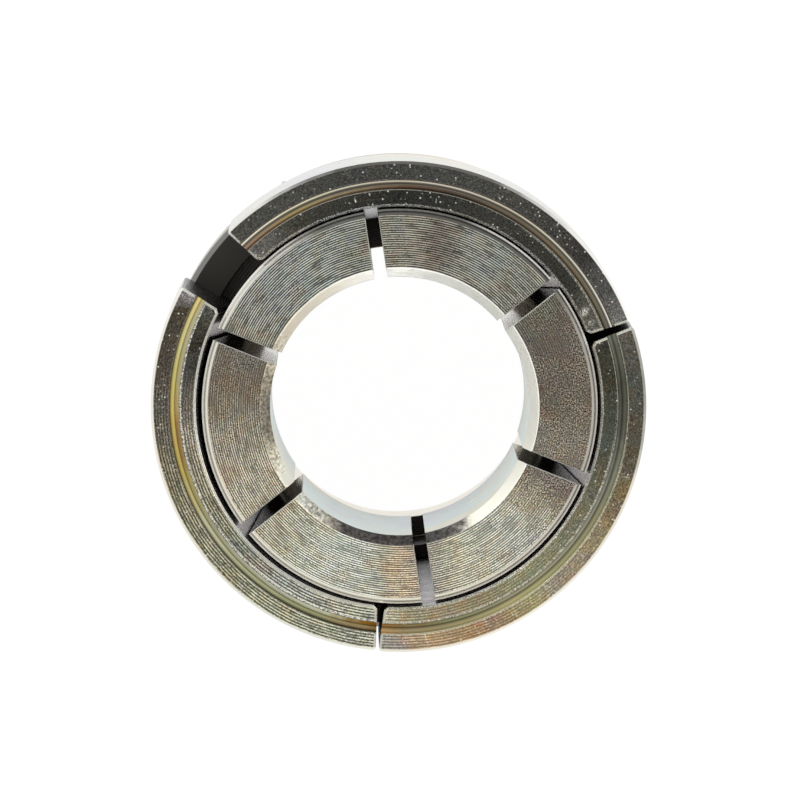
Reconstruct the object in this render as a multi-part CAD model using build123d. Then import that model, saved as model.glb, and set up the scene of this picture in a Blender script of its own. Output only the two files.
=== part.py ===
"""Keyless shaft bushing: a tapered collet, three tapered outer segments, a thrust washer and a nut.

The nut turns on the collet's thread. It drives the three outer segments up the collet's cone,
so they spread in the hub while the slit collet closes on the shaft.
Millimetres. +Z runs along the shaft, away from the nut. z = 0 is the collet's threaded tail end.
"""
from build123d import *
from math import cos, radians, sin, tan
import os

# ---- Driving dimensions: across the shaft ----
shaft_diameter = 20.0
ring_front_wall = 5.28          # collet wall at its thick end
segment_wall = 3.47             # segment wall at its thin end
taper_angle = 5.0               # half angle of the cone, in degrees
bore_relief = 0.94              # how far the tail's bore is opened beyond the gripping bore
tail_flare = 0.23               # how much wider still the bore is at the very tail
thread_inset = 0.2              # the thread's crest lies this far inside the cone's small end
thread_depth = 0.92
collar_inset = 0.34              # the nut's collar is this much smaller than the segments, in radius
collar_wall = 1.15
lip_hold = 0.75                 # how far a segment's foot reaches under the nut's lip
hexagon_inset = 0.18            # the hexagon's corners lie this far inside the collar
slit_width = 1.0
slit_count = 6
first_slit_angle = 38.4

# ---- Driving dimensions: along the shaft ----
tail_length = 3.0               # thread left standing out behind the nut
hexagon_height = 9.7
collar_height = 8.0
segment_length = 15.0           # full-diameter part of a segment
lip_thickness = 2.2
foot_thickness = 2.4
washer_thickness = 1.0
cone_runout = 0.55              # the cone stops this far ahead of the advanced nut's thread
grip_length = 18.0              # full-thickness bore, from the front face
whole_ring_height = 7.9         # ring left uncut at the tail, behind the slits
tail_flare_height = 2.5

# ---- Travel and clearances ----
nut_travel = 3.0                # two turns of a 1.5 pitch thread
cone_gap = 0.25                 # between collet and segments when released
shoulder_gap = 0.3              # between a segment's shoulder and the nut's front face
axial_play = 0.15               # on each face of the washer and the feet
foot_play = 0.75                # between the feet and the wall of the nut's groove
neck_clearance = 0.75           # between the segments' necks and the nut's lip
washer_play = 0.3
thread_clearance = 0.11

# ---- Segments: one turned ring sawn in three, as they sit when released ----
saw_kerf = 2.0
outer_corner_radius = 0.3
inner_corner_chamfer = 0.3
groove_setback = 1.42           # from the outer wall to the ring groove in the front face
groove_width = 0.74
groove_step_width = 0.32        # the inner part of the groove's floor is a little deeper
groove_depth = 0.5
groove_step_depth = 0.12
groove_edge_break = 0.07
segment_a_angle = 77.5           # where the middle of each segment faces
segment_b_angle = 208.0
segment_c_angle = 322.0
tucked_in = 0.08                # segment A sits this far in towards the collet
tucked_in_angle = 257.5
pushed_out = 0.2                # segment B has slipped this far out from the collet
pushed_out_angle = 162.0
segment_seats = {               # name: (middle angle, direction it has moved from centre, how far)
    "outer_segment_a": (segment_a_angle, tucked_in_angle, tucked_in),
    "outer_segment_b": (segment_b_angle, pushed_out_angle, pushed_out),
    "outer_segment_c": (segment_c_angle, segment_c_angle, 0.0),
}

# ---- Edge breaks ----
bore_chamfer = 0.7
ring_edge_chamfer = 0.3
slit_edge_break = 0.08
segment_edge_chamfer = 0.2
segment_back_chamfer = 0.3
collar_chamfer = 0.4
hexagon_chamfer = 0.9
thread_chamfer = 0.4

# ---- Levels worked out along the shaft ----
slope = tan(radians(taper_angle))
hexagon_back = tail_length
collar_back = hexagon_back + hexagon_height
nut_front = collar_back + collar_height
shoulder = nut_front + shoulder_gap
front = shoulder + segment_length
lip_back = nut_front - lip_thickness
foot_front = lip_back - axial_play
foot_back = foot_front - foot_thickness
washer_front = foot_back - axial_play
washer_back = washer_front - washer_thickness
nut_floor = washer_back - axial_play
cone_back = nut_floor + nut_travel + cone_runout
grip_end = front - grip_length

# ---- Radii worked out across the shaft ----
shaft_radius = shaft_diameter / 2
ring_front_radius = shaft_radius + ring_front_wall
segment_front_radius = ring_front_radius + cone_gap
hub_radius = segment_front_radius + segment_wall
relief_radius = shaft_radius + bore_relief
collar_radius = hub_radius - collar_inset
nut_groove_radius = collar_radius - collar_wall
foot_radius = nut_groove_radius - foot_play
lip_radius = foot_radius - lip_hold
neck_radius = lip_radius - neck_clearance
hexagon_corner_radius = collar_radius - hexagon_inset


def ring_radius(level):
    """Outer radius of the collet's cone."""
    return ring_front_radius - (front - level) * slope


def segment_radius(level):
    """Inner radius of the segments' cone."""
    return segment_front_radius - (front - level) * slope


thread_radius = ring_radius(cone_back) - thread_inset
thread_root_radius = thread_radius - thread_depth
nut_bore_radius = thread_root_radius + thread_clearance
washer_bore_radius = ring_radius(washer_front + nut_travel) + washer_play
washer_radius = lip_radius - axial_play


def turned(*outline):
    """A solid of revolution about the shaft, from its half section as (radius, level) points."""
    section = Plane.XZ * make_face(Polyline(*outline, close=True))
    return revolve(section, Axis.Z)


def inner_ring():
    """Slit collet: a cone outside, a gripping bore inside, and a threaded tail with an opened bore."""
    body = turned(
        (relief_radius + tail_flare, 0),
        (thread_root_radius - thread_chamfer, 0),
        (thread_root_radius, thread_chamfer),
        (thread_root_radius, cone_back),
        (ring_radius(cone_back), cone_back),
        (ring_radius(front - ring_edge_chamfer), front - ring_edge_chamfer),
        (ring_front_radius - ring_edge_chamfer, front),
        (shaft_radius + bore_chamfer, front),
        (shaft_radius, front - bore_chamfer),
        (shaft_radius, grip_end),
        (relief_radius, grip_end),
        (relief_radius, tail_flare_height),
    )
    half_width = slit_width / 2
    mouth = half_width + slit_edge_break
    slit_section = Plane.YZ * make_face(
        Polyline(
            (-half_width, whole_ring_height),
            (half_width, whole_ring_height),
            (half_width, front - slit_edge_break),
            (mouth, front),
            (mouth, front + slit_width),
            (-mouth, front + slit_width),
            (-mouth, front),
            (-half_width, front - slit_edge_break),
            close=True,
        )
    )
    slit = extrude(slit_section, ring_front_radius + slit_width)
    return body - PolarLocations(0, slit_count, first_slit_angle) * slit


def segment_third():
    """Prism that keeps one third of a turned ring, less half a saw cut at each end."""
    reach = 4 * hub_radius
    apex = saw_kerf / 2 / sin(radians(60))
    corner = (apex + reach * cos(radians(60)), reach * sin(radians(60)))
    outline = make_face(Polyline((apex, 0), corner, (corner[0], -corner[1]), close=True))
    return extrude(outline, front + segment_length)


def outer_segment(middle_angle, seat_angle, seat_shift):
    """One third of the outer ring: full-diameter wall, neck through the nut's lip and foot behind it."""
    third = segment_third()
    wall = third & turned(
        (segment_radius(shoulder), shoulder),
        (hub_radius - segment_back_chamfer, shoulder),
        (hub_radius, shoulder + segment_back_chamfer),
        (hub_radius, front),
        (segment_front_radius, front),
    )
    upright_edges = ShapeList(edge for edge in wall.edges() if edge.bounding_box().size.Z > segment_length / 2)
    wall = fillet(upright_edges.filter_by(Axis.Z), outer_corner_radius)
    upright_edges = ShapeList(edge for edge in wall.edges() if edge.bounding_box().size.Z > segment_length / 2)
    wall = chamfer(upright_edges.sort_by(Axis.X)[:2], inner_corner_chamfer)
    wall = chamfer(wall.faces().sort_by(Axis.Z)[-1].outer_wire().edges(), segment_edge_chamfer)

    groove_outer = hub_radius - groove_setback
    groove_inner = groove_outer - groove_width
    groove_step = groove_inner + groove_step_width
    groove_floor = front - groove_depth
    wall -= turned(
        (groove_inner, groove_floor - groove_step_depth),
        (groove_step, groove_floor - groove_step_depth),
        (groove_step, groove_floor),
        (groove_outer, groove_floor),
        (groove_outer, front - groove_edge_break),
        (groove_outer + 2 * groove_edge_break, front + groove_edge_break),
        (groove_inner - 2 * groove_edge_break, front + groove_edge_break),
        (groove_inner, front - groove_edge_break),
    )
    foot = third & turned(
        (segment_radius(foot_back), foot_back),
        (foot_radius, foot_back),
        (foot_radius, foot_front),
        (neck_radius, foot_front),
        (neck_radius, shoulder),
        (segment_radius(shoulder), shoulder),
    )
    seat = (seat_shift * cos(radians(seat_angle)), seat_shift * sin(radians(seat_angle)), 0)
    return Location(seat) * Rotation(0, 0, middle_angle) * (wall + foot)


def thrust_washer():
    """Flat ring that lets the nut turn under the segments' feet without dragging them round."""
    return turned(
        (washer_bore_radius, washer_back),
        (washer_radius, washer_back),
        (washer_radius, washer_front),
        (washer_bore_radius, washer_front),
    )


def clamp_nut():
    """Hexagon nut with a round collar, whose inner groove and lip hold the segments' feet."""
    hexagon = extrude(RegularPolygon(hexagon_corner_radius, 6), nut_front)
    flank_drop = hexagon_chamfer * tan(radians(30))
    blank = turned(
        (0, hexagon_back),
        (hexagon_corner_radius - hexagon_chamfer, hexagon_back),
        (hexagon_corner_radius, hexagon_back + flank_drop),
        (hexagon_corner_radius, collar_back),
        (0, collar_back),
    )
    collar = turned(
        (0, collar_back),
        (collar_radius - collar_chamfer, collar_back),
        (collar_radius, collar_back + collar_chamfer),
        (collar_radius, nut_front - collar_chamfer),
        (collar_radius - collar_chamfer, nut_front),
        (0, nut_front),
    )
    cavity = turned(
        (0, hexagon_back),
        (nut_bore_radius + thread_depth, hexagon_back),
        (nut_bore_radius, hexagon_back + thread_depth),
        (nut_bore_radius, nut_floor),
        (nut_groove_radius, nut_floor),
        (nut_groove_radius, lip_back),
        (lip_radius, lip_back),
        (lip_radius, nut_front),
        (0, nut_front),
    )
    return (hexagon & blank) + collar - cavity


os.makedirs("parts", exist_ok=True)
export_step(inner_ring(), "parts/inner_ring.step")
export_step(thrust_washer(), "parts/thrust_washer.step")
export_step(clamp_nut(), "parts/clamp_nut.step")
for name, (middle_angle, seat_angle, seat_shift) in segment_seats.items():
    export_step(outer_segment(middle_angle, seat_angle, seat_shift), f"parts/{name}.step")
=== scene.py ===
from math import cos, pi, radians, sin

import bpy
from mathutils import Matrix, Vector


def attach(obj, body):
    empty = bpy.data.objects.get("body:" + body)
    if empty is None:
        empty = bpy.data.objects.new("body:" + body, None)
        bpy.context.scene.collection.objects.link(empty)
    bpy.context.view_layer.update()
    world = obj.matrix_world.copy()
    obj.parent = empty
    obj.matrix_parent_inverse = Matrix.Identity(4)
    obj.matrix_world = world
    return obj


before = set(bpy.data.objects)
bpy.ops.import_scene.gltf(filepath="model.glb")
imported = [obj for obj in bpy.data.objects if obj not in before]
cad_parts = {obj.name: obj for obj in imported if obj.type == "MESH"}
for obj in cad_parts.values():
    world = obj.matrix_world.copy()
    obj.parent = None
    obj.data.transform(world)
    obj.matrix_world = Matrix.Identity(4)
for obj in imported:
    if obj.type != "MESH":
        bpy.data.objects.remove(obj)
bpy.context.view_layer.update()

# ---- Collet ----
# The tapered inner ring, turned from steel bar and sawn six times from its thick end, so that it closes on the
# shaft. It is zinc plated and passivated: the film over the tool's rings turns from grey to olive, brown and lavender.


def linear(code):
    """An sRGB hex colour as linear RGBA."""
    shares = [int(code[i:i + 2], 16) / 255 for i in (1, 3, 5)]
    return [s / 12.92 if s <= 0.04045 else ((s + 0.055) / 1.055) ** 2.4 for s in shares] + [1.0]


def node(tree, kind, inputs=None, stops=(), **settings):
    """Adds a node. Inputs are values, hex colours, nodes or sockets; stops fill a colour ramp."""
    made = tree.nodes.new(kind)
    for key, value in settings.items():
        setattr(made, key, value)
    for key, value in (inputs or {}).items():
        if isinstance(value, bpy.types.Node):
            value = value.outputs[0]
        if isinstance(value, bpy.types.NodeSocket):
            tree.links.new(value, made.inputs[key])
        else:
            made.inputs[key].default_value = linear(value) if isinstance(value, str) else value
    if stops:
        ramp = made.color_ramp
        ramp.elements.remove(ramp.elements[1])
        ramp.elements[0].position = stops[0][0]
        ramp.elements[0].color = linear(stops[0][1])
        for place, colour in stops[1:]:
            ramp.elements.new(place).color = linear(colour)
    return made


def around(degrees, sweep=360.0):
    """Ramp stops from (degrees, colour) pairs, for a ramp that covers the sweep."""
    return [(angle / sweep, colour) for angle, colour in degrees]


def turned_coordinates(tree, centre=(0.0, 0.0), start=0.0):
    """Millimetres about a turned piece's own axis: the place, the radius, the height and the path of the cut."""
    place = node(
        tree, "ShaderNodeMapping",
        {
            "Vector": node(tree, "ShaderNodeTexCoord").outputs["Object"],
            "Location": (centre[0] / 1000, centre[1] / 1000, 0),
            "Rotation": (0, 0, radians(start)),
            "Scale": (0.001, 0.001, 0.001),
        },
        vector_type="TEXTURE",
    )
    flat = node(tree, "ShaderNodeVectorMath", {0: place, 1: (1, 1, 0)}, operation="MULTIPLY")
    radius = node(tree, "ShaderNodeVectorMath", {0: flat}, operation="LENGTH").outputs["Value"]
    height = node(tree, "ShaderNodeSeparateXYZ", {0: place}).outputs["Z"]
    # On a face the tool's feed shows along the radius and on a wall along the height, so their sum serves both.
    across = node(tree, "ShaderNodeMath", {0: radius, 1: height}, operation="ADD")
    heading = node(tree, "ShaderNodeVectorMath", {0: flat}, operation="NORMALIZE")
    lift = node(tree, "ShaderNodeCombineXYZ", {2: across})
    return place, radius, height, (across, heading, lift)


def share_of_turn(tree, place, sweep=360.0):
    """How far round the sweep a place lies, from 0 to 1."""
    axes = node(tree, "ShaderNodeSeparateXYZ", {0: place}).outputs
    turn = node(tree, "ShaderNodeMath", {0: axes["Y"], 1: axes["X"]}, operation="ARCTAN2")
    # The angle drifts by up to ten degrees either way, so that no colour ends on a straight radius.
    drift = node(tree, "ShaderNodeTexNoise", {"Vector": place, "Scale": 0.45, "Detail": 5.0, "Roughness": 0.6})
    drift = node(tree, "ShaderNodeMath", {0: drift, 1: 0.36, 2: -0.18}, operation="MULTIPLY_ADD")
    turn = node(tree, "ShaderNodeMath", {0: turn, 1: drift}, operation="ADD")
    share = node(tree, "ShaderNodeMath", {0: turn, 1: 1 / (2 * pi)}, operation="MULTIPLY")
    share = node(tree, "ShaderNodeMath", {0: share}, operation="FRACT")
    return node(tree, "ShaderNodeMath", {0: share, 1: 360 / sweep}, operation="MULTIPLY")


def tool_rings(tree, place, path, pitch):
    """The tool's rings, from -1 to 1: grooves one feed apart whose depth wanders along the cut."""
    across, heading, lift = path
    wobble = node(tree, "ShaderNodeTexNoise", {"Vector": place, "Scale": 0.3, "Detail": 1.0})
    phase = node(tree, "ShaderNodeMath", {0: across, 1: 2 * pi / pitch}, operation="MULTIPLY")
    phase = node(tree, "ShaderNodeMath", {0: wobble, 1: 4.0, 2: phase}, operation="MULTIPLY_ADD")
    wave = node(tree, "ShaderNodeMath", {0: phase}, operation="SINE")
    # Noise stretched along the cut breaks each groove into streaks.
    streak = node(tree, "ShaderNodeVectorMath", {0: heading, 1: (9, 9, 0), 2: lift}, operation="MULTIPLY_ADD")
    streak = node(tree, "ShaderNodeVectorMath", {0: streak, 1: (1, 1, 0.8 / pitch)}, operation="MULTIPLY")
    streak = node(tree, "ShaderNodeTexNoise", {"Vector": streak, "Scale": 1.0, "Detail": 3.0, "Roughness": 0.7})
    depth = node(tree, "ShaderNodeMath", {0: streak, 1: 2.6, 2: -0.45}, operation="MULTIPLY_ADD")
    shade = node(tree, "ShaderNodeMath", {0: streak, 1: 2.0, 2: -1.0}, operation="MULTIPLY_ADD")
    wave = node(tree, "ShaderNodeMath", {0: wave, 1: depth, 2: shade}, operation="MULTIPLY_ADD")
    return node(tree, "ShaderNodeClamp", {"Value": wave, "Min": -1.0, "Max": 1.0})


# Heights in millimetres from the tail's end, and radii from the shaft's axis.
front = 36.0
grip_end = 18.0              # behind this the bore is opened
slit_end = 7.9               # the saw cuts stop here
bore_radius = 10.0
relief_radius = 10.94        # the opened bore
flare_radius = 11.17         # its mouth at the tail
root_radius = 12.6           # the tail, at the thread's root
chamfer_reach = 10.76        # the bore's chamfer meets the face just short of this
rim_level = 35.7             # the cone's edge is broken above this
rim_radius = 14.8            # a smoother rim starts here on the face
cone_end = 18.2
cone_slope = 0.0874887       # the tangent of 5 degrees
collet_cone_foot = 12.09     # the cone's radius carried down to the tail's end, less 0.04
collet_feed = 0.172          # from one of the tool's rings to the next
brightest = 3.2              # how far a ridge of the relief may outshine its ground

# By angle: the colours of the face; the painted highlight and shade on the bore's edge, the cone's edge and its
# outermost corner; the painted light and shade on the saw cuts' walls and floors. The last one is how strongly the
# tool's rings show.
collet_face = around([
    (0, "#615a52"), (24, "#5f5953"), (34, "#5e5c53"), (44, "#706f68"), (56, "#6d6f6a"), (68, "#6e6d68"),
    (77, "#59524c"), (84, "#6e6b63"), (105, "#6b6c66"), (122, "#747774"), (142, "#72726f"), (153, "#76746c"),
    (162, "#65615a"), (174, "#6b6156"), (188, "#7c776c"), (203, "#928b7e"), (216, "#8f8a7d"), (230, "#959385"),
    (246, "#a4a79d"), (257, "#a0a198"), (264, "#8c8677"), (269, "#a1917d"), (280, "#807c77"), (292, "#a3a08f"),
    (308, "#9a9a92"), (318, "#99968d"), (324, "#8d8676"), (332, "#69615b"), (346, "#756f66"), (360, "#615a52"),
])
collet_bore_edge_light_and_shade = around([
    (0, "#fffcf4"), (60, "#fefcf4"), (100, "#fcfaf4"), (125, "#fef6e6"), (142, "#fef2e0"), (154, "#e6d8c6"),
    (166, "#b0a694"), (178, "#8e8678"), (192, "#7c7669"), (201, "#c4bca8"), (210, "#f4f0e2"), (218, "#ece8dc"),
    (226, "#dcdcd2"), (236, "#b4aea2"), (243, "#5a5654"), (275, "#4c4948"), (288, "#565452"), (297, "#74716c"),
    (304, "#f8f5e8"), (335, "#fefcf0"), (360, "#fffcf4"),
])
collet_rim_light_and_shade = around([
    (0, "#b8b4ac"), (24, "#a8a49c"), (40, "#6c6a66"), (60, "#5e5d5a"), (96, "#62615e"), (114, "#6e6c68"),
    (122, "#b4b2aa"), (140, "#e4e2da"), (180, "#e6e0d4"), (215, "#e8e2d2"), (240, "#e6e4d6"), (262, "#eae6d6"),
    (290, "#e2decc"), (322, "#d2ccc0"), (338, "#b8b2a8"), (360, "#b8b4ac"),
])
collet_lip_highlight = around([
    (0, "#d8d4ca"), (50, "#f0eeea"), (63, "#e4e1dc"), (72, "#80817c"), (118, "#8a8c86"), (128, "#e8e6de"),
    (250, "#e8e4d6"), (360, "#d8d4ca"),
])
collet_cut_light_and_shade = around([
    (0, "#a8a296"), (38, "#b4ada0"), (66, "#8a857c"), (98, "#5a5752"), (130, "#8a857c"), (158, "#aaa498"),
    (218, "#a49e92"), (248, "#7a766e"), (278, "#4a4743"), (308, "#7a766e"), (338, "#a8a296"), (360, "#a8a296"),
])
collet_slit_floor_painted_shade = around([
    (0, "#8a8478"), (66, "#8a8478"), (80, "#24221f"), (116, "#24221f"), (130, "#8a8478"), (248, "#8a8478"),
    (262, "#24221f"), (294, "#24221f"), (308, "#8a8478"), (360, "#8a8478"),
])
collet_ringed = around([
    (0, "#585858"), (28, "#808080"), (44, "#e0e0e0"), (58, "#ffffff"), (148, "#ffffff"), (162, "#808080"),
    (184, "#b8b8b8"), (200, "#d0d0d0"), (262, "#d8d8d8"), (316, "#c8c8c8"), (328, "#707070"), (360, "#585858"),
])
# Colours of the opened bore, of the painted shade on the cone and of the painted highlight on the slits' broken edges.
opened_bore_shade = "#f2ecde"
cone_painted_shade = "#3a3835"
broken_edge_highlight = "#d2cfc4"

# Zinc-plated steel, turned, with an iridescent yellow passivate: the rings are cut 0.17 mm apart, and the film's
# thickness gives the hue. Painted highlights brighten the sheared edges, and painted light and shade colour the saw
# cuts.
collet_steel = bpy.data.materials.new("zinc plated steel, turned, iridescent passivate")
collet_steel.use_nodes = True
tree = collet_steel.node_tree
shader = tree.nodes["Principled BSDF"]
place, radius, height, path = turned_coordinates(tree)
share = share_of_turn(tree, place)
rings = tool_rings(tree, place, path, collet_feed)
face = node(tree, "ShaderNodeValToRGB", {0: share}, stops=collet_face)
film = node(tree, "ShaderNodeTexNoise", {"Vector": place, "Scale": 0.7, "Detail": 6.0, "Roughness": 0.65})
tint = node(
    tree, "ShaderNodeValToRGB", {0: film},
    stops=[(0.3, "#8f8aa6"), (0.41, "#b2bab0"), (0.5, "#bcbcb4"), (0.59, "#beb294"), (0.7, "#ac8672")],
)
grain = node(tree, "ShaderNodeTexNoise", {"Vector": place, "Scale": 4.0, "Detail": 1.0}).outputs["Color"]
for amount, overlay in ((0.38, tint), (0.15, grain)):
    face = node(
        tree, "ShaderNodeMix", {0: amount, 6: face, 7: overlay}, data_type="RGBA", blend_type="OVERLAY",
    ).outputs[2]
ringed = node(tree, "ShaderNodeValToRGB", {0: share}, stops=collet_ringed)
cut = node(tree, "ShaderNodeMath", {0: ringed, 1: rings}, operation="MULTIPLY")
# The plate's crystals are too fine to show, so they are drawn as grit of a tenth of a millimetre, strongest in
# patches where the rings fade.
grit = node(tree, "ShaderNodeTexNoise", {"Vector": place, "Scale": 9.0, "Detail": 2.0, "Roughness": 0.7})
grit = node(tree, "ShaderNodeMath", {0: grit, 1: 13.0, 2: -6.5}, operation="MULTIPLY_ADD")
sandy = node(tree, "ShaderNodeMapRange", {0: ringed, 1: 0.1, 2: 0.6, 3: 1.05, 4: 0.5})
patchy = node(tree, "ShaderNodeTexNoise", {"Vector": place, "Scale": 0.55, "Detail": 3.0, "Roughness": 0.6})
patchy = node(tree, "ShaderNodeMapRange", {0: patchy, 1: 0.36, 2: 0.64, 3: 0.45, 4: 1.5})
sandy = node(tree, "ShaderNodeMath", {0: sandy, 1: patchy}, operation="MULTIPLY")
grit = node(tree, "ShaderNodeMath", {0: grit, 1: sandy}, operation="MULTIPLY")
relief = node(tree, "ShaderNodeMath", {0: cut, 1: 2.6, 2: grit}, operation="MULTIPLY_ADD")
level = node(tree, "ShaderNodeMath", {0: 2.0, 1: relief}, operation="POWER")
level = node(tree, "ShaderNodeMath", {0: level, 1: brightest}, operation="MINIMUM")
face = node(tree, "ShaderNodeVectorMath", {0: face, 1: level}, operation="MULTIPLY")

# A clear silver-blue shows low in the bore, and it greys towards the far end of the grip.
wall = node(tree, "ShaderNodeTexNoise", {"Vector": place, "Scale": 0.1, "Detail": 1.0})
wall = node(
    tree, "ShaderNodeValToRGB", {0: wall},
    stops=[(0.36, "#d3d0d8"), (0.46, "#cfdcda"), (0.54, "#cddcd8"), (0.64, "#dcdac8")],
)
deep = node(
    tree, "ShaderNodeValToRGB", {0: node(tree, "ShaderNodeMapRange", {0: height, 1: 0.0, 2: front})},
    stops=[(0.0, "#ffffff"), (0.48, "#f2f2f2"), (0.52, "#d8d6da"), (0.7, "#e8ebec"), (1.0, "#ffffff")],
)
wall = node(tree, "ShaderNodeMix", {0: 1.0, 6: wall, 7: deep}, data_type="RGBA", blend_type="MULTIPLY").outputs[2]

# Behind the grip the bore is pale, and outside it the tail and its thread wear a plain olive-silver passivate.
behind_grip = node(tree, "ShaderNodeMapRange", {0: height, 1: grip_end + 0.02, 2: grip_end - 0.02})
low_bore = node(tree, "ShaderNodeMapRange", {0: radius, 1: flare_radius + 0.08, 2: flare_radius + 0.03})
in_relief = node(tree, "ShaderNodeMath", {0: low_bore, 1: behind_grip}, operation="MULTIPLY")
on_tail = node(tree, "ShaderNodeMapRange", {0: radius, 1: root_radius - 0.06, 2: root_radius - 0.03})
on_tail = node(tree, "ShaderNodeMath", {0: on_tail, 1: behind_grip}, operation="MULTIPLY")
tail = node(
    tree, "ShaderNodeValToRGB", {0: film},
    stops=[(0.3, "#b0acb0"), (0.45, "#b2b2a8"), (0.55, "#b8b4a2"), (0.7, "#b6a88e")],
)
on_face = node(tree, "ShaderNodeMapRange", {0: height, 1: front - 0.03, 2: front - 0.01})

# The saw cuts: everything below the face that is neither bore, chamfer nor tail.
off_bore = node(tree, "ShaderNodeMapRange", {0: radius, 1: bore_radius + 0.04, 2: bore_radius + 0.08})
chamfer = node(tree, "ShaderNodeMath", {0: height, 1: front - chamfer_reach}, operation="SUBTRACT")
off_chamfer = node(tree, "ShaderNodeMath", {0: chamfer, 1: radius}, operation="LESS_THAN")
low = node(tree, "ShaderNodeMath", {0: height, 1: front - 0.75}, operation="LESS_THAN")
off_chamfer = node(tree, "ShaderNodeMath", {0: off_chamfer, 1: low}, operation="MAXIMUM")
in_grip = node(tree, "ShaderNodeMapRange", {0: height, 1: grip_end - 0.1, 2: grip_end + 0.05})
off_tail = node(tree, "ShaderNodeMapRange", {0: radius, 1: relief_radius + 0.04, 2: relief_radius + 0.08})
off_tail = node(tree, "ShaderNodeMath", {0: off_tail, 1: in_grip}, operation="MAXIMUM")
inside = node(tree, "ShaderNodeMapRange", {0: radius, 1: root_radius - 0.03, 2: root_radius - 0.06})
inside = node(tree, "ShaderNodeMath", {0: inside, 1: in_grip}, operation="MAXIMUM")
above_floor = node(tree, "ShaderNodeMapRange", {0: height, 1: slit_end - 0.05, 2: slit_end - 0.02})
for mask in (inside, above_floor):
    off_tail = node(tree, "ShaderNodeMath", {0: off_tail, 1: mask}, operation="MULTIPLY")
sawn = node(tree, "ShaderNodeMapRange", {0: height, 1: front - 0.05, 2: front - 0.1})
for mask in (off_bore, off_chamfer, off_tail):
    sawn = node(tree, "ShaderNodeMath", {0: sawn, 1: mask}, operation="MULTIPLY")
# Painted light and shade on the cuts' walls and floors: dark in the slits near 98 and 278 degrees, pale in the rest.
cuts = node(tree, "ShaderNodeValToRGB", {0: share}, stops=collet_cut_light_and_shade)
slit_floor = node(tree, "ShaderNodeMapRange", {0: height, 1: slit_end + 0.05, 2: slit_end + 0.02})
slit_floor_painted_shade = node(tree, "ShaderNodeValToRGB", {0: share}, stops=collet_slit_floor_painted_shade)
cuts = node(tree, "ShaderNodeMix", {0: slit_floor, 6: cuts, 7: slit_floor_painted_shade}, data_type="RGBA").outputs[2]

# The slits' broken edges, with a painted highlight in flecks.
broken = node(tree, "ShaderNodeMapRange", {0: height, 1: front - 0.095, 2: front - 0.075})
off_face = node(tree, "ShaderNodeMapRange", {0: height, 1: front - 0.015, 2: front - 0.025})
flecks = node(tree, "ShaderNodeMapRange", {0: grit, 1: -0.8, 2: 0.3, 3: 0.35, 4: 1.0})
for mask in (off_face, flecks):
    broken = node(tree, "ShaderNodeMath", {0: broken, 1: mask}, operation="MULTIPLY")

# The cone, painted dark as shade where the segments crowd it, and the broken edge between it and the face.
cone = node(tree, "ShaderNodeMath", {0: height, 1: cone_slope, 2: collet_cone_foot}, operation="MULTIPLY_ADD")
on_cone = node(tree, "ShaderNodeMath", {0: radius, 1: cone}, operation="GREATER_THAN")
under_rim = node(tree, "ShaderNodeMapRange", {0: height, 1: rim_level - 0.01, 2: rim_level - 0.04})
ahead = node(tree, "ShaderNodeMapRange", {0: height, 1: cone_end - 0.1, 2: cone_end})
for mask in (under_rim, ahead):
    on_cone = node(tree, "ShaderNodeMath", {0: on_cone, 1: mask}, operation="MULTIPLY")
# The broken edge and its outermost corner carry a painted highlight and shade that change round the turn.
rim = node(tree, "ShaderNodeValToRGB", {0: share}, stops=collet_rim_light_and_shade)
band = node(tree, "ShaderNodeMapRange", {0: radius, 1: rim_radius - 0.02, 2: rim_radius + 0.49})
band = node(
    tree, "ShaderNodeValToRGB", {0: band},
    stops=[(0.0, "#ffffff"), (0.25, "#f4f4f4"), (0.5, "#d4d4d4"), (0.65, "#e8e8e8"), (0.8, "#ffffff")],
)
rim = node(tree, "ShaderNodeMix", {0: 1.0, 6: rim, 7: band}, data_type="RGBA", blend_type="MULTIPLY").outputs[2]
at_lip = node(tree, "ShaderNodeMapRange", {0: radius, 1: rim_radius + 0.28, 2: rim_radius + 0.34})
lip = node(tree, "ShaderNodeValToRGB", {0: share}, stops=collet_lip_highlight)
rim = node(tree, "ShaderNodeMix", {0: at_lip, 6: rim, 7: lip}, data_type="RGBA").outputs[2]
near_rim = node(tree, "ShaderNodeMapRange", {0: radius, 1: rim_radius - 0.04, 2: rim_radius + 0.04})
near_top = node(tree, "ShaderNodeMapRange", {0: height, 1: rim_level - 0.04, 2: rim_level - 0.01})
near_rim = node(tree, "ShaderNodeMath", {0: near_rim, 1: near_top}, operation="MULTIPLY")
# The rim's outermost corner is worn round, so it scatters the light like a matt surface.
scatter = node(tree, "ShaderNodeMath", {0: near_rim, 1: at_lip}, operation="MULTIPLY")
metal = node(tree, "ShaderNodeMath", {0: scatter, 1: -0.75, 2: 1.0}, operation="MULTIPLY_ADD")

# The bore's chamfer, with a painted highlight and shade round the turn; its darker part gets painted glints.
bore_edge_painted_light = node(tree, "ShaderNodeValToRGB", {0: share}, stops=collet_bore_edge_light_and_shade)
sparkle = node(tree, "ShaderNodeTexNoise", {"Vector": place, "Scale": 3.4, "Detail": 3.0, "Roughness": 0.7})
sparkle = node(tree, "ShaderNodeMapRange", {0: sparkle, 1: 0.36, 2: 0.62, 3: 0.45, 4: 1.7})
sparkling = node(tree, "ShaderNodeVectorMath", {0: bore_edge_painted_light, 1: sparkle}, operation="MULTIPLY")
rough_part = node(tree, "ShaderNodeMapRange", {0: bore_edge_painted_light, 1: 0.85, 2: 0.6})
bore_edge_painted_light = node(tree, "ShaderNodeMix", {0: rough_part, 6: bore_edge_painted_light, 7: sparkling}, data_type="RGBA").outputs[2]
near_bore = node(tree, "ShaderNodeMath", {0: 1.0, 1: off_chamfer}, operation="SUBTRACT")

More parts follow.
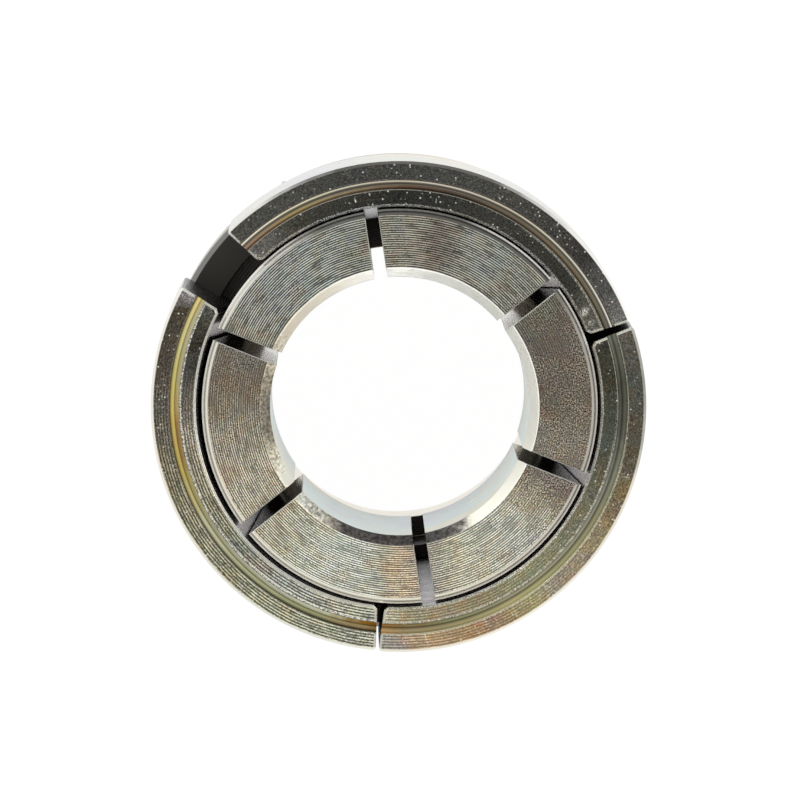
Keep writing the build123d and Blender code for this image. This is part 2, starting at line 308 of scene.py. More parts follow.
colour = wall
for mask, layer in (
    (in_relief, opened_bore_shade), (on_tail, tail), (on_face, face), (sawn, cuts), (broken, broken_edge_highlight),
    (on_cone, cone_painted_shade), (near_rim, rim), (near_bore, bore_edge_painted_light),
):
    colour = node(tree, "ShaderNodeMix", {0: mask, 6: colour, 7: layer}, data_type="RGBA").outputs[2]
bump = node(tree, "ShaderNodeBump", {"Strength": 0.3, "Distance": 0.000006, "Height": relief})
roughness = node(tree, "ShaderNodeMapRange", {0: film, 1: 0.2, 2: 0.8, 3: 0.24, 4: 0.38})
roughness = node(tree, "ShaderNodeMapRange", {0: sawn, 3: roughness, 4: 0.14})
for value, socket in ((colour, "Base Color"), (metal, "Metallic"), (roughness, "Roughness"), (bump, "Normal")):
    tree.links.new(value.outputs[0] if isinstance(value, bpy.types.Node) else value, shader.inputs[socket])
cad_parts["inner_ring"].material_slots[0].material = collet_steel

# ---- Thread on the collet's tail ----
# The nut's thread: a 1.5 mm pitch right-hand thread that the lathe cuts on the tail before plating. The ridge is
# one long turned spiral; behind the nut three millimetres of it stand free, and six once the nut has drawn up.
thread_sizes = {
    "Root radius": 0.01245, "Ridge height": 0.00107, "Pitch": 0.0015, "Turns": 4.0, "Start": 0.00062,
    "Ridge base": 0.0012, "Ridge crest": 0.0002, "Run-out": 0.08,
}
steps_a_turn = 120
thinnest = 0.02              # of the full section, where the ridge has run out
thread = bpy.data.node_groups.new("cut thread", "GeometryNodeTree")
thread.is_modifier = True
thread.interface.new_socket("Geometry", in_out="OUTPUT", socket_type="NodeSocketGeometry")
for label in thread_sizes:
    thread.interface.new_socket(label, in_out="INPUT", socket_type="NodeSocketFloat")
size = node(thread, "NodeGroupInput").outputs
rise = node(thread, "ShaderNodeMath", {0: size["Pitch"], 1: size["Turns"]}, operation="MULTIPLY")
spiral = node(
    thread, "GeometryNodeCurveSpiral",
    {
        "Resolution": steps_a_turn, "Rotations": size["Turns"], "Start Radius": size["Root radius"],
        "End Radius": size["Root radius"], "Height": rise, "Reverse": True,
    },
)
upright = node(thread, "GeometryNodeSetCurveNormal", {0: spiral}, mode="Z_UP")
lifted = node(
    thread, "GeometryNodeTransform",
    {0: upright, "Translation": node(thread, "ShaderNodeCombineXYZ", {2: size["Start"]})},
)
# The ridge runs out to nothing at each end, as it does where the tool enters and leaves.
along = node(thread, "GeometryNodeSplineParameter").outputs["Factor"]
from_end = node(thread, "ShaderNodeMath", {0: 1.0, 1: along}, operation="SUBTRACT")
from_end = node(thread, "ShaderNodeMath", {0: along, 1: from_end}, operation="MINIMUM")
fullness = node(thread, "ShaderNodeMapRange", {0: from_end, 2: size["Run-out"], 3: thinnest})
section = node(
    thread, "GeometryNodeCurvePrimitiveQuadrilateral",
    {
        "Height": size["Ridge height"], "Bottom Width": size["Ridge base"], "Top Width": size["Ridge crest"],
        "Offset": 0.0,
    },
    mode="TRAPEZOID",
)
# The section stands on the root and points away from the shaft.
half = node(thread, "ShaderNodeMath", {0: size["Ridge height"], 1: 0.5}, operation="MULTIPLY")
section = node(
    thread, "GeometryNodeTransform",
    {0: section, "Translation": node(thread, "ShaderNodeCombineXYZ", {0: half}), "Rotation": (0, 0, -pi / 2)},
)
ridge = node(thread, "GeometryNodeCurveToMesh", {0: lifted, 1: section, "Scale": fullness, "Fill Caps": True})
real = node(thread, "GeometryNodeRealizeInstances", {0: ridge})
dressed = node(thread, "GeometryNodeSetMaterial", {0: real, "Material": collet_steel})
node(thread, "NodeGroupOutput", {0: dressed})
carrier = bpy.data.objects.new("tail_thread", bpy.data.meshes.new("tail_thread"))
bpy.context.scene.collection.objects.link(carrier)
cutter = carrier.modifiers.new("thread", "NODES")
cutter.node_group = thread
for item in thread.interface.items_tree:
    if item.in_out == "INPUT":
        cutter[item.identifier] = thread_sizes[item.name]
ready = carrier.evaluated_get(bpy.context.evaluated_depsgraph_get())
carrier.data = bpy.data.meshes.new_from_object(ready)
carrier.modifiers.remove(cutter)
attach(carrier, "inner_ring")

# ---- Thrust washer ----
# A thin hardened ring between the nut's floor and the segments' feet, ground flat on both faces.
# It is painted near black as shade inside the nut, and lets the nut turn without dragging the segments round.
washer_feed = 0.25
# Hardened steel, ground: painted near black as shade, with a faint sheen round each ring.
washer_steel = bpy.data.materials.new("hardened steel, ground, painted shade")
washer_steel.use_nodes = True
tree = washer_steel.node_tree
shader = tree.nodes["Principled BSDF"]
place, *_, path = turned_coordinates(tree)
rings = tool_rings(tree, place, path, washer_feed)
tone = node(
    tree, "ShaderNodeValToRGB",
    {0: node(tree, "ShaderNodeMath", {0: rings, 1: 0.5, 2: 0.5}, operation="MULTIPLY_ADD")},
    stops=[(0.0, "#34322f"), (1.0, "#4a4844")],
)
bump = node(tree, "ShaderNodeBump", {"Strength": 0.4, "Distance": 0.00001, "Height": rings})
shader.inputs["Metallic"].default_value = 1.0
shader.inputs["Roughness"].default_value = 0.3
tree.links.new(tone.outputs[0], shader.inputs["Base Color"])
tree.links.new(bump.outputs[0], shader.inputs["Normal"])
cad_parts["thrust_washer"].material_slots[0].material = washer_steel

# ---- Nut ----
# Turned and threaded from hexagon bar, with a round collar bored out for the segments' feet.
# It has the same zinc plate and passivate, greyer and plainer than on the ring, and its inside is painted dark as
# shade.
nut_feed = 0.22
nut_front = 20.7
nut_back = 3.0
collar_bore = 17.5           # the groove for the feet
nut_floor = 14.65            # the washer lies on it
nut_bore = 12.7
# Painted shade for the nut's inside, its collar's chamfer and its front lip.
nut_inside_painted_shade = "#24221f"
nut_bevel_painted_shade = "#7c7a78"
nut_lip_painted_shade = "#3b3a37"
# Zinc-plated steel bar: a soft silver-grey film with drifts of lavender and straw, and fine rings.
nut_steel = bpy.data.materials.new("zinc plated steel, hexagon bar, passivated")
nut_steel.use_nodes = True
tree = nut_steel.node_tree
shader = tree.nodes["Principled BSDF"]
place, radius, height, path = turned_coordinates(tree)
rings = tool_rings(tree, place, path, nut_feed)
film = node(tree, "ShaderNodeTexNoise", {"Vector": place, "Scale": 0.13, "Detail": 2.5, "Distortion": 0.4})
tone = node(
    tree, "ShaderNodeValToRGB", {0: film},
    stops=[(0.3, "#a4a0a8"), (0.42, "#a7a9a3"), (0.52, "#adab9e"), (0.62, "#b3aa92"), (0.72, "#ad9e8f")],
)
grit = node(tree, "ShaderNodeTexNoise", {"Vector": place, "Scale": 5.0, "Detail": 3.0, "Roughness": 0.75})
relief = node(tree, "ShaderNodeMath", {0: grit, 1: 0.3, 2: -0.15}, operation="MULTIPLY_ADD")
relief = node(tree, "ShaderNodeMath", {0: rings, 1: 0.1, 2: relief}, operation="MULTIPLY_ADD")
level = node(tree, "ShaderNodeMath", {0: relief, 1: 1.0}, operation="ADD")
tone = node(tree, "ShaderNodeVectorMath", {0: tone, 1: level}, operation="MULTIPLY")
# Painted shade on the inside: under the lip and off the back face, in the groove for the feet or in the threaded bore.
shaded = node(tree, "ShaderNodeMapRange", {0: radius, 1: collar_bore + 0.1, 2: collar_bore + 0.05})
roofed = node(tree, "ShaderNodeMapRange", {0: height, 1: nut_front - 0.01, 2: nut_front - 0.04})
inward = node(tree, "ShaderNodeMapRange", {0: height, 1: nut_back + 1.0, 2: nut_back + 1.3})
hollow = node(tree, "ShaderNodeMapRange", {0: height, 1: nut_floor - 0.05, 2: nut_floor - 0.01})
threaded = node(tree, "ShaderNodeMapRange", {0: radius, 1: nut_bore + 0.2, 2: nut_bore + 0.15})
hollow = node(tree, "ShaderNodeMath", {0: hollow, 1: threaded}, operation="MAXIMUM")
for mask in (roofed, inward, hollow):
    shaded = node(tree, "ShaderNodeMath", {0: shaded, 1: mask}, operation="MULTIPLY")
# The chamfer round the collar's front edge is painted a darker grey than the wall, as shade under the segments.
on_bevel = node(tree, "ShaderNodeMapRange", {0: height, 1: nut_front - 0.5, 2: nut_front - 0.34})
# The collar's front lip is painted near black, as shade under the segments.
on_lip = node(tree, "ShaderNodeMapRange", {0: height, 1: nut_front - 0.04, 2: nut_front - 0.01})
for mask, layer in ((shaded, nut_inside_painted_shade), (on_bevel, nut_bevel_painted_shade), (on_lip, nut_lip_painted_shade)):
    tone = node(tree, "ShaderNodeMix", {0: mask, 6: tone, 7: layer}, data_type="RGBA").outputs[2]
bump = node(tree, "ShaderNodeBump", {"Strength": 0.3, "Distance": 0.000006, "Height": relief})
shader.inputs["Metallic"].default_value = 1.0
shader.inputs["Roughness"].default_value = 0.32
tree.links.new(tone, shader.inputs["Base Color"])
tree.links.new(bump.outputs[0], shader.inputs["Normal"])
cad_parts["clamp_nut"].material_slots[0].material = nut_steel

# ---- Outer segments ----
# One steel ring, turned with a cone inside and a ring groove in its face, then sawn in three and plated.
# Each third has aged its own way: one is left near black and bright, the others keep their olive and gold film.
sweep = 120.0                # one third of a turn, in degrees
segment_feed = 0.214
hub_radius = 19.0
groove_inner = 16.84
groove_step = 17.16          # the groove's floor steps up here
groove_middle = 17.22        # the face changes its colours here, out of sight in the groove
groove_outer = 17.58
groove_level = 35.3          # the saw cuts' colour stops below the groove
segment_cone_foot = 12.43    # the cone's radius carried down to the tail's end, plus 0.05
shoulder = 16.0              # the colours inside the cone start from here
speck_shade = "#d8d6cc"
mark_shade = "#dcdacd"
# Painted shade for the sawn ends, and a painted highlight for the broken edges at the ends.
sawn_end_painted_shade = "#3e3c39"
end_edge_highlight = "#d4d2ca"
broad = 0.3                  # marks wider than this are patches of flecks, narrower ones are scratches
# By piece: where the third starts, its own axis, and by degrees along it the colours of the face outside and inside
# the groove, of the groove's two floors and the outer rim's painted highlight and shade. Then how strongly the rings
# show, the groove's lines from its inner to its outer lip, the painted highlights on the broken edges at the cone and
# the two lips, how bright the lips' highlights are, the grit where the rings are faint and where they are strong, the
# depth of the cut, the stain's share, and the marks as (degrees, radius, length, width, strength).
segments = {
    "outer_segment_a": dict(
        start=17.5, centre=(-0.0173, -0.0781),
        outer=[(0, "#71716f"), (20, "#383635"), (42, "#454441"), (60, "#464643"), (80, "#41413f"), (120, "#4a4a45")],
        inner=[(0, "#63625a"), (20, "#353530"), (45, "#3b3a36"), (70, "#2b2c2a"), (100, "#3d3c36"), (120, "#686662")],
        floor=[(0, "#f4efe0"), (22, "#ece6d2"), (40, "#e0d4bc"), (57, "#e2d8c8"), (74, "#d8ccb6"), (88, "#e0d9c3"),
               (100, "#f0e6c6"), (114, "#fff6de")],
        step=[(0, "#646355"), (22, "#7f6f56"), (40, "#746854"), (57, "#5d4f45"), (74, "#715b47"), (88, "#9e8d71"),
              (100, "#ad9967"), (114, "#a6836c")],
        rim=[(0, "#f6f5f2"), (28, "#eceae6"), (42, "#aeaeaa"), (52, "#6c6a66"), (88, "#62605b"), (98, "#9c9b97"),
             (110, "#dcdad4"), (120, "#e6e4de")],
        rings=[(0, "#525252"), (28, "#4c4c4c"), (44, "#383838"), (120, "#383838")],
        lines=[(0.0, "#b0b0b0"), (0.1, "#848484"), (0.18, "#b4b4b4"), (0.29, "#ffffff"), (0.38, "#d8d8d8"),
               (0.48, "#5a5a5a"), (0.6, "#545454"), (0.72, "#848484"), (0.79, "#f0f0f0"), (0.86, "#f0f0f0"),
               (0.92, "#6c6c6c"), (1.0, "#565656")],
        edges=("#4c4b45", "#b4b1a4", "#5e5b50"), lips=(0.8, 0.0), sand=(0.5, 0.3), cut=1.8, stain=0.2,
        marks=[(49.3, 18.7, 0.55, 0.07, 1.0), (102.0, 16.3, 0.35, 0.1, 0.9), (27.5, 16.0, 1.3, 0.8, 0.75),
               (24.0, 16.1, 0.7, 0.5, 0.55), (80.0, 16.2, 0.5, 0.05, 0.5)],
    ),
    "outer_segment_b": dict(
        start=148.0, centre=(-0.1902, 0.0618),
        outer=[(0, "#949095"), (8, "#443f36"), (22, "#4d4740"), (33, "#57534d"), (50, "#706b5a"), (64, "#7a7766"),
               (90, "#858573"), (120, "#8a8b81")],
        inner=[(0, "#54544e"), (16, "#2f2d27"), (25, "#4e4c48"), (40, "#817c72"), (60, "#767160"), (72, "#73756b"),
               (90, "#888882"), (120, "#8b8b7c")],
        floor=[(0, "#e8d28a"), (16, "#d2c88a"), (24, "#ccbe74"), (34, "#ceb466"), (42, "#c2ac64"), (50, "#beac66"),
               (66, "#c4c2a1"), (82, "#a9aa84"), (98, "#999b73"), (110, "#998760"), (120, "#78622f")],
        step=[(0, "#ebdfaa"), (16, "#e0d8ab"), (26, "#dbca8c"), (34, "#d1b371"), (41, "#bb925e"), (50, "#cebe6f"),
              (66, "#c7c49a"), (90, "#dfdfc4"), (104, "#ebecc4"), (112, "#ac7e2f"), (120, "#906017")],
        rim=[(0, "#ece9e4"), (25, "#ebe5da"), (60, "#e8e3d6"), (85, "#dcdccf"), (120, "#e2e1d5")],
        rings=[(0, "#404040"), (20, "#606060"), (36, "#b0b0b0"), (50, "#e0e0e0"), (120, "#f0f0f0")],
        lines=[(0.0, "#c8c8c8"), (0.12, "#d8d8d8"), (0.24, "#c4c4c4"), (0.36, "#bcbcbc"), (0.43, "#949494"),
               (0.5, "#dcdcdc"), (0.6, "#ffffff"), (0.78, "#eaeaea"), (0.9, "#909090"), (1.0, "#707070")],
        edges=("#b4b4ac", "#ecebe2", "#6c6856"), lips=(0.9, 0.0), sand=(0.6, 0.6), cut=2.1, stain=0.35,
        marks=[(196.0, 17.9, 0.3, 0.06, 0.7), (238.0, 16.2, 0.4, 0.05, 0.5)],
    ),
    "outer_segment_c": dict(
        start=262.0, centre=(0.0, 0.0),
        outer=[(0, "#898883"), (8, "#928b88"), (14, "#a58e75"), (24, "#a0886a"), (32, "#937b67"), (40, "#97926f"),
               (47, "#928a7c"), (55, "#958878"), (64, "#8e8369"), (70, "#806f58"), (78, "#6c6451"), (86, "#595347"),
               (104, "#4b4c49"), (120, "#5e5954")],
        inner=[(0, "#b0a794"), (12, "#8f8a75"), (20, "#968872"), (30, "#88826d"), (46, "#888870"), (62, "#747161"),
               (76, "#626255"), (86, "#51544d"), (104, "#3d3d35"), (120, "#3e3d34")],
        floor=[(0, "#dbb175"), (10, "#b8a67c"), (20, "#b7ac80"), (38, "#d0c793"), (54, "#bab98a"), (70, "#aca783"),
               (80, "#9a9b85"), (88, "#777769"), (104, "#616155"), (120, "#888979")],
        step=[(0, "#cf8f45"), (10, "#b49763"), (20, "#b7b687"), (46, "#d5cfad"), (62, "#cdc8ae"), (78, "#b3b3a3"),
              (88, "#818277"), (104, "#706f5f"), (120, "#a4a697")],
        rim=[(0, "#dedccc"), (20, "#e4dece"), (38, "#ece9dc"), (60, "#e8e2d4"), (78, "#e2dccc"), (90, "#b4b2a8"),
             (104, "#92918a"), (120, "#b6b4ae")],
        rings=[(0, "#e8e8e8"), (30, "#c0c0c0"), (55, "#909090"), (75, "#606060"), (90, "#404040"), (120, "#383838")],
        lines=[(0.0, "#c8c8c8"), (0.08, "#8c8c8c"), (0.2, "#c4c4c4"), (0.3, "#b4b4b4"), (0.4, "#848484"),
               (0.5, "#a0a0a0"), (0.66, "#d0d0d0"), (0.8, "#dcdcdc"), (0.9, "#b4b4b4"), (1.0, "#f4f4f4")],
        edges=("#7c7a6c", "#d8d6c6", "#ccc8b0"), lips=(0.8, 0.7), sand=(0.5, 0.3), cut=1.2, stain=0.55,
        marks=[(276.4, 17.95, 0.6, 0.06, 0.9), (342.7, 18.3, 0.5, 0.06, 0.8), (300.0, 16.4, 0.4, 0.05, 0.5)],
    ),
}
for name, look in segments.items():
    # Zinc-plated steel, face turned, iridescent yellow passivate: rings 0.21 mm apart; painted highlights on the
    # sheared edges and the groove's lips, painted charcoal shade on the saw cuts, and the outer wall pale silver.
    segment_steel = bpy.data.materials.new("zinc plated steel, sawn third, " + name[-1])
    segment_steel.use_nodes = True
    tree = segment_steel.node_tree
    shader = tree.nodes["Principled BSDF"]
    place, radius, height, path = turned_coordinates(tree, look["centre"], look["start"])
    share = share_of_turn(tree, place, sweep)
    _, heading, lift = path
    rings = tool_rings(tree, place, path, segment_feed)
    bands = {}
    for band in ("outer", "inner", "floor", "step", "rim", "rings"):
        bands[band] = node(tree, "ShaderNodeValToRGB", {0: share}, stops=around(look[band], sweep))
    outside = node(tree, "ShaderNodeMapRange", {0: radius, 1: groove_middle - 0.02, 2: groove_middle + 0.02})
    face = node(tree, "ShaderNodeMix", {0: outside, 6: bands["inner"], 7: bands["outer"]}, data_type="RGBA").outputs[2]
    film = node(tree, "ShaderNodeTexNoise", {"Vector": place, "Scale": 0.7, "Detail": 6.0, "Roughness": 0.65})
    tint = node(
        tree, "ShaderNodeValToRGB", {0: film},
        stops=[(0.32, "#9c98ae"), (0.44, "#b2b8ac"), (0.5, "#b4b4ae"), (0.57, "#bcb296"), (0.68, "#b89682")],
    )
    grain = node(tree, "ShaderNodeTexNoise", {"Vector": place, "Scale": 4.0, "Detail": 1.0}).outputs["Color"]
    for amount, overlay in ((look["stain"], tint), (0.15, grain)):
        face = node(
            tree, "ShaderNodeMix", {0: amount, 6: face, 7: overlay}, data_type="RGBA", blend_type="OVERLAY",
        ).outputs[2]
    # The plate's crystals are too fine to show, so they are drawn coarser, stretched along the cut.
    drawn = node(tree, "ShaderNodeVectorMath", {0: heading, 1: (12, 12, 0), 2: lift}, operation="MULTIPLY_ADD")
    grit = node(tree, "ShaderNodeTexNoise", {"Vector": drawn, "Scale": 10.0, "Detail": 2.0, "Roughness": 0.7})
    grit = node(tree, "ShaderNodeMath", {0: grit, 1: 12.0, 2: -6.0}, operation="MULTIPLY_ADD")
    faint_sand, strong_sand = look["sand"]
    sandy = node(tree, "ShaderNodeMapRange", {0: bands["rings"], 1: 0.1, 2: 0.6, 3: faint_sand, 4: strong_sand})
    relief = node(tree, "ShaderNodeMath", {0: rings, 1: bands["rings"]}, operation="MULTIPLY")
    relief = node(tree, "ShaderNodeMath", {0: relief, 1: look["cut"]}, operation="MULTIPLY")
    relief = node(tree, "ShaderNodeMath", {0: grit, 1: sandy, 2: relief}, operation="MULTIPLY_ADD")
    level = node(tree, "ShaderNodeMath", {0: 2.0, 1: relief}, operation="POWER")
    level = node(tree, "ShaderNodeMath", {0: level, 1: brightest}, operation="MINIMUM")
    face = node(tree, "ShaderNodeVectorMath", {0: face, 1: level}, operation="MULTIPLY")
    # Dust and bare specks, 0.1 mm across, catch the light on the dark plating.
    specks = node(tree, "ShaderNodeTexVoronoi", {"Vector": place, "Scale": 3.6})
    spot = node(tree, "ShaderNodeMapRange", {0: specks.outputs["Distance"], 1: 0.3, 2: 0.12})
    chosen = node(tree, "ShaderNodeSeparateColor", {0: specks.outputs["Color"]})
    chosen = node(tree, "ShaderNodeMapRange", {0: chosen, 1: 0.72, 2: 0.95})
    spot = node(tree, "ShaderNodeMath", {0: spot, 1: chosen}, operation="MULTIPLY")
    face = node(tree, "ShaderNodeMix", {0: spot, 6: face, 7: speck_shade}, data_type="RGBA").outputs[2]
    # Scratches and patches lie across the cut at a slight slant.
    for angle, reach, length, width, strength in look["marks"]:
        there = radians(angle - look["start"])
        mark = node(
            tree, "ShaderNodeMapping",
            {
                "Vector": place, "Location": (reach * cos(there), reach * sin(there), front),
                "Rotation": (0, 0, there + 0.12), "Scale": (length / 2, width / 2, 1.0),
            },
            vector_type="TEXTURE",
        )
        mark = node(tree, "ShaderNodeVectorMath", {0: mark}, operation="LENGTH").outputs["Value"]
        mark = node(tree, "ShaderNodeMath", {0: grit, 1: 0.25, 2: mark}, operation="MULTIPLY_ADD")
        mark = node(tree, "ShaderNodeMapRange", {0: mark, 1: 1.0, 2: 0.6, 4: strength})
        if width > broad:
            crisp = node(tree, "ShaderNodeMapRange", {0: grit, 1: -0.05, 2: 0.3, 3: 0.06, 4: 1.3})
            mark = node(tree, "ShaderNodeMath", {0: mark, 1: crisp}, operation="MULTIPLY")
        face = node(tree, "ShaderNodeMix", {0: mark, 6: face, 7: mark_shade}, data_type="RGBA").outputs[2]
    # The groove's two lips carry a painted highlight in flecks, only where the tool's rings show strongly.
    cone_edge_highlight, inner_lip_highlight, outer_lip_highlight = look["edges"]
    inner_lip, outer_lip = look["lips"]
    flecks = node(tree, "ShaderNodeMapRange", {0: grit, 1: -0.8, 2: 0.6, 3: 0.15, 4: 1.0})
    rings_strong = node(tree, "ShaderNodeMapRange", {0: bands["rings"], 1: 0.045, 2: 0.075})
    for lip, strength, sheen in (
        (groove_inner - 0.12, inner_lip, inner_lip_highlight), (groove_outer + 0.1, outer_lip, outer_lip_highlight),
    ):
        off_lip = node(tree, "ShaderNodeMath", {0: radius, 1: lip}, operation="SUBTRACT")
        off_lip = node(tree, "ShaderNodeMath", {0: off_lip}, operation="ABSOLUTE")
        at_lip = node(tree, "ShaderNodeMapRange", {0: off_lip, 1: 0.08, 2: 0.03, 4: strength})
        for mask in (flecks, rings_strong):
            at_lip = node(tree, "ShaderNodeMath", {0: at_lip, 1: mask}, operation="MULTIPLY")
        face = node(tree, "ShaderNodeMix", {0: at_lip, 6: face, 7: sheen}, data_type="RGBA").outputs[2]
    # The groove keeps most of its gold film, in lighter and darker lines across its width.
    on_floor = node(tree, "ShaderNodeMapRange", {0: radius, 1: groove_step - 0.03, 2: groove_step + 0.01})
    groove = node(
        tree, "ShaderNodeMix", {0: on_floor, 6: bands["step"], 7: bands["floor"]}, data_type="RGBA",
    ).outputs[2]
    lines = node(tree, "ShaderNodeMapRange", {0: radius, 1: groove_inner, 2: groove_outer})
    lines = node(tree, "ShaderNodeValToRGB", {0: lines}, stops=look["lines"])
    groove = node(
        tree, "ShaderNodeMix", {0: 1.0, 6: groove, 7: lines}, data_type="RGBA", blend_type="MULTIPLY",
    ).outputs[2]
    in_groove = node(tree, "ShaderNodeMapRange", {0: height, 1: groove_level, 2: groove_level + 0.03})
    past_lip = node(tree, "ShaderNodeMapRange", {0: radius, 1: groove_inner - 0.04, 2: groove_inner - 0.01})
    short_of_lip = node(tree, "ShaderNodeMapRange", {0: radius, 1: groove_outer + 0.04, 2: groove_outer + 0.01})
    for mask in (past_lip, short_of_lip):
        in_groove = node(tree, "ShaderNodeMath", {0: in_groove, 1: mask}, operation="MULTIPLY")
    # Walls: pale silver outside; inside the cone, painted shade that deepens towards its foot; painted charcoal shade
    # where sawn.
    wall = node(tree, "ShaderNodeTexNoise", {"Vector": place, "Scale": 0.13, "Detail": 2.5, "Distortion": 0.3})
    wall = node(
        tree, "ShaderNodeValToRGB", {0: wall},
        stops=[(0.3, "#d8d4dc"), (0.42, "#dce0da"), (0.52, "#e2e0d4"), (0.62, "#e6dec8"), (0.72, "#e2d2c4")],
    )
    faint = node(tree, "ShaderNodeMath", {0: rings, 1: 0.08, 2: 1.0}, operation="MULTIPLY_ADD")
    wall = node(tree, "ShaderNodeVectorMath", {0: wall, 1: faint}, operation="MULTIPLY")
    off_wall = node(tree, "ShaderNodeMapRange", {0: radius, 1: hub_radius - 0.04, 2: hub_radius - 0.1})
    cone = node(tree, "ShaderNodeMath", {0: height, 1: cone_slope, 2: segment_cone_foot}, operation="MULTIPLY_ADD")
    off_cone = node(tree, "ShaderNodeMath", {0: radius, 1: cone}, operation="GREATER_THAN")
    inside = node(
        tree, "ShaderNodeValToRGB", {0: node(tree, "ShaderNodeMapRange", {0: height, 1: shoulder, 2: front})},
        stops=[(0.0, "#3a3838"), (0.3, "#5c5a5c"), (0.6, "#989498"), (0.9, "#bcb7ba"), (1.0, "#ccc8c6")],
    )
    wall = node(tree, "ShaderNodeMix", {0: off_cone, 6: inside, 7: wall}, data_type="RGBA").outputs[2]
    below = node(tree, "ShaderNodeMapRange", {0: height, 1: groove_level, 2: groove_level - 0.05})
    sawn = node(tree, "ShaderNodeMath", {0: off_wall, 1: off_cone}, operation="MULTIPLY")
    sawn = node(tree, "ShaderNodeMath", {0: sawn, 1: below}, operation="MULTIPLY")
    on_face = node(tree, "ShaderNodeMapRange", {0: height, 1: front - 0.025, 2: front - 0.01})
    # Each broken edge has its own painted highlight: the cone's edge, the groove's inner and outer lips, and the ends.
    edge_painted_highlight = node(
        tree, "ShaderNodeValToRGB",
        {0: node(tree, "ShaderNodeMapRange", {0: radius, 1: hub_radius - 4.0, 2: hub_radius})},
        stops=[(0.0, cone_edge_highlight), (0.22, end_edge_highlight), (0.42, inner_lip_highlight), (0.55, outer_lip_highlight),
               (0.68, end_edge_highlight)],
    )
    edge_painted_highlight.color_ramp.interpolation = "CONSTANT"
    broken = node(tree, "ShaderNodeMapRange", {0: height, 1: front - 0.22, 2: front - 0.2})
    off_face = node(tree, "ShaderNodeMapRange", {0: height, 1: front - 0.01, 2: front - 0.02})
    for mask in (off_face, flecks):
        broken = node(tree, "ShaderNodeMath", {0: broken, 1: mask}, operation="MULTIPLY")
    # The outer rim's corner: a painted highlight and shade that change along each piece.
    near_rim = node(tree, "ShaderNodeMapRange", {0: radius, 1: hub_radius - 0.24, 2: hub_radius - 0.18})
    near_top = node(tree, "ShaderNodeMapRange", {0: height, 1: front - 0.26, 2: front - 0.2})
    near_rim = node(tree, "ShaderNodeMath", {0: near_rim, 1: near_top}, operation="MULTIPLY")
    colour = wall
    for mask, layer in (
        (sawn, sawn_end_painted_shade), (in_groove, groove), (on_face, face), (broken, edge_painted_highlight), (near_rim, bands["rim"]),
    ):
        colour = node(tree, "ShaderNodeMix", {0: mask, 6: colour, 7: layer}, data_type="RGBA").outputs[2]
    bump = node(tree, "ShaderNodeBump", {"Strength": 0.3, "Distance": 0.000006, "Height": relief})
    roughness = node(tree, "ShaderNodeMapRange", {0: film, 1: 0.2, 2: 0.8, 3: 0.2, 4: 0.36})
    # The sawn ends are a little dull, and so is the cone where it nears the face.
    dull = node(tree, "ShaderNodeMapRange", {0: height, 1: front - 2.4, 2: front - 0.8, 4: 0.7})
    dull = node(tree, "ShaderNodeMapRange", {0: off_cone, 3: dull, 4: 0.35})
    in_cut = node(tree, "ShaderNodeMath", {0: off_wall, 1: below}, operation="MULTIPLY")
    metal = node(tree, "ShaderNodeMath", {0: in_cut, 1: dull}, operation="MULTIPLY")
    metal = node(tree, "ShaderNodeMath", {0: 1.0, 1: metal}, operation="SUBTRACT")
    for value, socket in ((colour, "Base Color"), (metal, "Metallic"), (roughness, "Roughness"), (bump, "Normal")):
        tree.links.new(value.outputs[0] if isinstance(value, bpy.types.Node) else value, shader.inputs[socket])
    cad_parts[name].material_slots[0].material = segment_steel

# ---- Studio ----
# A white table and surround, lit by the sky of a light tent and three soft panels.
# The camera stands almost straight above the standing bushing.


def seen_directly(tree):
    """One for rays from the camera, from a mirror or through glass, and zero for the light itself."""
    ray = node(tree, "ShaderNodeLightPath").outputs
    seen = node(
        tree, "ShaderNodeMath", {0: ray["Is Camera Ray"], 1: ray["Is Glossy Ray"]}, operation="MAXIMUM",
    )
    return node(tree, "ShaderNodeMath", {0: seen, 1: ray["Is Transmission Ray"]}, operation="MAXIMUM")


table_reach = 3.0
lamp_target = Vector((0, 0, 0.02))
view_angle = 6.042           # degrees
camera_place = (-0.0046, 0.04184, 0.6181)
camera_forward = Vector((0.00791, -0.0708, -0.99746))
camera_up = Vector((0.00056, 0.9975, -0.07081))
nearest, farthest = 0.01, 10.0

floor = bpy.data.objects.new("floor", bpy.data.meshes.new("floor"))
corners = [(x * table_reach, y * table_reach, 0) for x, y in ((-1, -1), (1, -1), (1, 1), (-1, 1))]
floor.data.from_pydata(corners, [], [(0, 1, 2, 3)])
bpy.context.scene.collection.objects.link(floor)
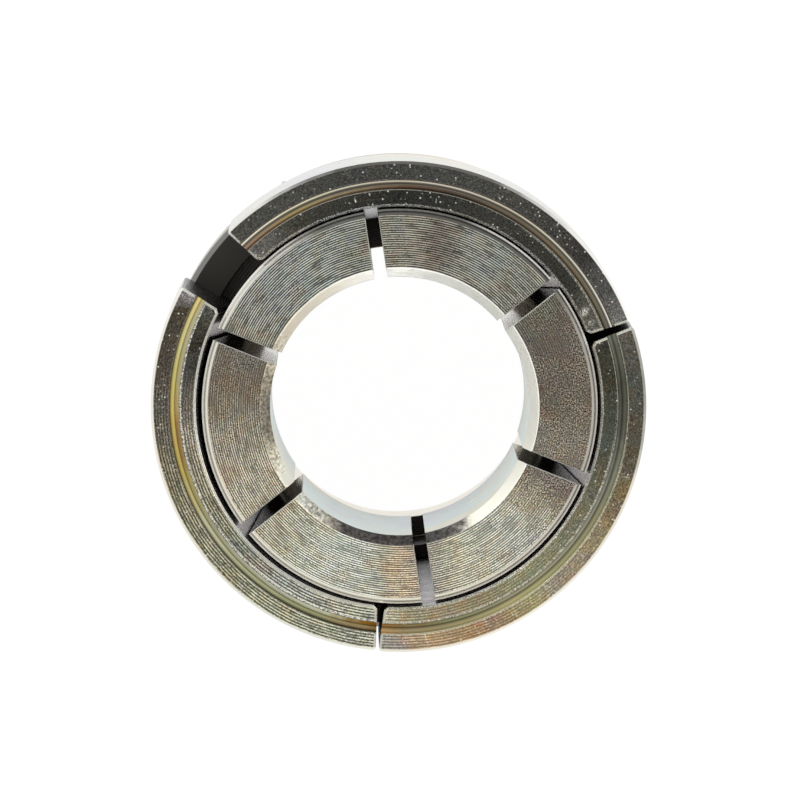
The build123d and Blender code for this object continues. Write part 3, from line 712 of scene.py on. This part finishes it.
# Matt white paper. Seen directly it is nearly all a plain white, with enough of the paper left to keep the shadow.
paper = bpy.data.materials.new("white paper")
paper.use_nodes = True
tree = paper.node_tree
tree.nodes.clear()
shown = node(tree, "ShaderNodeMath", {0: seen_directly(tree), 1: 0.92}, operation="MULTIPLY")
matt = node(tree, "ShaderNodeBsdfDiffuse", {"Color": "#f4f4f2"})
bright = node(tree, "ShaderNodeEmission", {"Color": "#ffffff", "Strength": 1.06})
mixed = node(tree, "ShaderNodeMixShader", {0: shown, 1: matt, 2: bright})
node(tree, "ShaderNodeOutputMaterial", {0: mixed})
floor.data.materials.append(paper)

world = bpy.data.worlds.new("light tent")
bpy.context.scene.world = world
world.use_nodes = True
tree = world.node_tree
tree.nodes.clear()
strength = node(tree, "ShaderNodeMapRange", {0: seen_directly(tree), 3: 0.6, 4: 1.0})
sky = node(tree, "ShaderNodeBackground", {"Color": "#ffffff", "Strength": strength})
node(tree, "ShaderNodeOutputWorld", {0: sky})

for label, spot, size, power in (
    ("key panel", (-0.5, 0.5, 0.55), 0.4, 2.6),
    ("fill panel", (0.6, 0.1, 0.5), 0.5, 1.6),
    ("back panel", (0.1, -0.65, 0.45), 0.4, 1.6),
):
    lamp = bpy.data.objects.new(label, bpy.data.lights.new(label, "AREA"))
    lamp.data.energy = power
    lamp.data.size = size
    lamp.location = spot
    lamp.rotation_euler = (lamp_target - Vector(spot)).to_track_quat("-Z", "Y").to_euler()
    bpy.context.scene.collection.objects.link(lamp)

camera = bpy.data.objects.new("camera", bpy.data.cameras.new("camera"))
camera.data.angle = radians(view_angle)
camera.data.clip_start = nearest
camera.data.clip_end = farthest
backward = -camera_forward.normalized()
upward = camera_up.normalized()
sideways = upward.cross(backward).normalized()
turn = Matrix((sideways, backward.cross(sideways), backward)).transposed()
camera.matrix_world = Matrix.Translation(camera_place) @ turn.to_4x4()
bpy.context.scene.collection.objects.link(camera)
bpy.context.scene.camera = camera
bpy.context.scene.view_settings.view_transform = "Standard"
